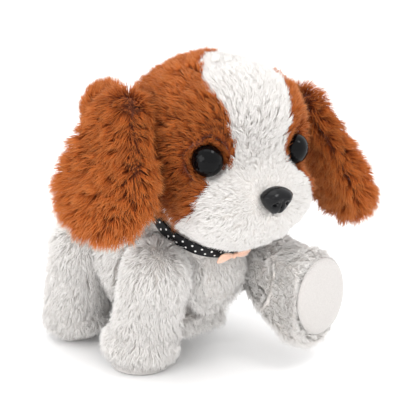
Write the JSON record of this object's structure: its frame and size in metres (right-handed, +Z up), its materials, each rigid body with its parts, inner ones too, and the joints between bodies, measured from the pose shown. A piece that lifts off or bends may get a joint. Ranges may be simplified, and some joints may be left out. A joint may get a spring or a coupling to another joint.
{
  "type": "interactive plush puppy",
  "caption": "Plush walking puppy with a geared drive inside: swinging legs, nodding head, wagging tail, floppy ears, ribbon collar and a belly flap over the battery tray.",
  "frame": {"origin": "middle of the outline on the floor that the soles stand on", "axes": "+Z up, the puppy faces -Y, +X is the puppy's left side"},
  "size_m": [0.1598, 0.1658, 0.16],
  "materials": {
    "brown_fur": "long pile plush",
    "two_tone_fur": "long pile plush, brown with a white blaze and muzzle",
    "white_fur": "long pile plush",
    "sole_fabric": "short pile",
    "black_gloss": "polished",
    "collar_ribbon": "satin ribbon with small pale dots",
    "bow_satin": "satin",
    "hook_tape": "hook and loop",
    "grey_plastic": "moulded",
    "white_acetal": "moulded",
    "crank_plastic": "moulded",
    "steel": "bright",
    "cell_case": "sleeved cell",
    "board": "solder mask",
    "speaker_black": "black",
    "switch_black": "black"
  },
  "bodies": {
    "root": {"gearbox_left": "grey_plastic", "gearbox_right": "grey_plastic", "case_screws": "steel", "gear_pins": "steel", "motor": "steel", "front_hip_axle": "steel", "rear_hip_axle": "steel", "battery_tray": "grey_plastic", "battery_door": "grey_plastic", "door_screw": "steel", "aa_cell_left": "cell_case", "aa_cell_right": "cell_case", "battery_contacts": "steel", "circuit_board": "board", "speaker_frame": "speaker_black", "speaker_cone": "speaker_black", "switch_body": "switch_black", "body_plush": "white_fur", "collar_ribbon": "collar_ribbon", "collar_bow": "bow_satin", "neck_pin": "steel", "tail_pin": "steel"},
    "head": {"skull_front": "grey_plastic", "skull_rear": "grey_plastic", "head_plush": "two_tone_fur", "eye_left": "black_gloss", "eye_right": "black_gloss", "eye_washers": "white_acetal", "nose": "black_gloss", "nose_washer": "white_acetal", "neck_post": "grey_plastic", "neck_fork": "grey_plastic"},
    "ear_left": {"ear_left": "brown_fur"},
    "ear_right": {"ear_right": "brown_fur"},
    "tail": {"tail_lever": "grey_plastic", "tail_plush": "brown_fur"},
    "front_left_leg": {"front_left_leg_frame": "grey_plastic", "front_left_leg_plush": "white_fur", "front_left_sole_pad": "sole_fabric"},
    "front_right_leg": {"front_right_leg_frame": "grey_plastic", "front_right_leg_plush": "white_fur", "front_right_sole_pad": "sole_fabric"},
    "rear_left_leg": {"rear_left_leg_frame": "grey_plastic", "rear_left_leg_plush": "white_fur", "rear_left_sole_pad": "sole_fabric"},
    "rear_right_leg": {"rear_right_leg_frame": "grey_plastic", "rear_right_leg_plush": "white_fur", "rear_right_sole_pad": "sole_fabric"},
    "front_crank": {"front_crank_shaft": "crank_plastic", "front_crank_gear": "white_acetal"},
    "rear_crank": {"rear_crank_shaft": "crank_plastic", "rear_crank_gear": "white_acetal"},
    "centre_gear": {"centre_gear": "white_acetal"},
    "compound_gear": {"compound_gear": "white_acetal"},
    "motor_rotor": {"motor_pinion": "white_acetal"},
    "switch_knob": {"switch_knob": "switch_black"},
    "belly_flap": {"belly_flap": "white_fur", "hook_tape": "hook_tape"}
  },
  "joints": [
    {"name": "front_left_leg_swing", "type": "hinge", "parent": "root", "child": "front_left_leg", "pos_m": [-0.00178, -0.01453, 0.05], "axis": [1, 0, 0], "range_deg": [0, 90]},
    {"name": "front_right_leg_swing", "type": "hinge", "parent": "root", "child": "front_right_leg", "pos_m": [-0.00178, -0.01453, 0.05], "axis": [1, 0, 0], "range_deg": [-30, 0]},
    {"name": "rear_left_leg_swing", "type": "hinge", "parent": "root", "child": "rear_left_leg", "pos_m": [-0.00178, 0.04547, 0.05], "axis": [1, 0, 0], "range_deg": [0, 20]},
    {"name": "rear_right_leg_swing", "type": "hinge", "parent": "root", "child": "rear_right_leg", "pos_m": [-0.00178, 0.04547, 0.05], "axis": [1, 0, 0], "range_deg": [-20, 0]},
    {"name": "front_crank_turn", "type": "hinge", "parent": "root", "child": "front_crank", "pos_m": [-0.00178, -0.00253, 0.047], "axis": [1, 0, 0], "range_deg": [0, 270]},
    {"name": "rear_crank_turn", "type": "hinge", "parent": "root", "child": "rear_crank", "pos_m": [-0.00178, 0.03347, 0.047], "axis": [1, 0, 0], "range_deg": [0, 270]},
    {"name": "centre_gear_turn", "type": "hinge", "parent": "root", "child": "centre_gear", "pos_m": [-0.00178, 0.01547, 0.047], "axis": [1, 0, 0], "range_deg": [-424.79, 0]},
    {"name": "compound_gear_turn", "type": "hinge", "parent": "root", "child": "compound_gear", "pos_m": [-0.00178, 0.02223, 0.0615], "axis": [1, 0, 0], "range_deg": [0, 1273.86]},
    {"name": "motor_turn", "type": "hinge", "parent": "root", "child": "motor_rotor", "pos_m": [-0.00178, 0.0337, 0.06953], "axis": [1, 0, 0], "range_deg": [-3184.14, 0]},
    {"name": "head_nod", "type": "hinge", "parent": "root", "child": "head", "pos_m": [-0.00178, -0.00853, 0.07], "axis": [1, 0, 0], "range_deg": [-6, 0]},
    {"name": "tail_wag", "type": "hinge", "parent": "root", "child": "tail", "pos_m": [-0.00178, 0.05847, 0.066], "axis": [0, 1, 0], "range_deg": [-14, 0]},
    {"name": "ear_left_lift", "type": "hinge", "parent": "head", "child": "ear_left", "pos_m": [0.03642, -0.03576, 0.13519], "axis": [-0.2924, -0.9563, 0], "range_deg": [0, 40]},
    {"name": "ear_right_lift", "type": "hinge", "parent": "head", "child": "ear_right", "pos_m": [-0.04766, -0.01694, 0.14258], "axis": [-0.2079, 0.9781, 0], "range_deg": [0, 55]},
    {"name": "power_switch_slide", "type": "slide", "parent": "root", "child": "switch_knob", "axis": [1, 0, 0], "range_m": [0, 0.0036]},
    {"name": "belly_flap_open", "type": "hinge", "parent": "root", "child": "belly_flap", "pos_m": [-0.00178, -0.00853, 0.0133], "axis": [-1, 0, 0], "range_deg": [0, 75]}
  ],
  "couplings": [
    {"joint": "front_right_leg_swing", "follows": "front_left_leg_swing", "ratio": -0.33333},
    {"joint": "rear_left_leg_swing", "follows": "front_left_leg_swing", "ratio": 0.22222},
    {"joint": "rear_right_leg_swing", "follows": "front_left_leg_swing", "ratio": -0.22222},
    {"joint": "front_crank_turn", "follows": "front_left_leg_swing", "ratio": 3},
    {"joint": "rear_crank_turn", "follows": "front_left_leg_swing", "ratio": 3},
    {"joint": "centre_gear_turn", "follows": "front_left_leg_swing", "ratio": -4.7143},
    {"joint": "compound_gear_turn", "follows": "front_left_leg_swing", "ratio": 14.143},
    {"joint": "motor_turn", "follows": "front_left_leg_swing", "ratio": -35.357},
    {"joint": "head_nod", "follows": "front_left_leg_swing", "ratio": -0.066667},
    {"joint": "tail_wag", "follows": "front_left_leg_swing", "ratio": -0.15556}
  ]
}
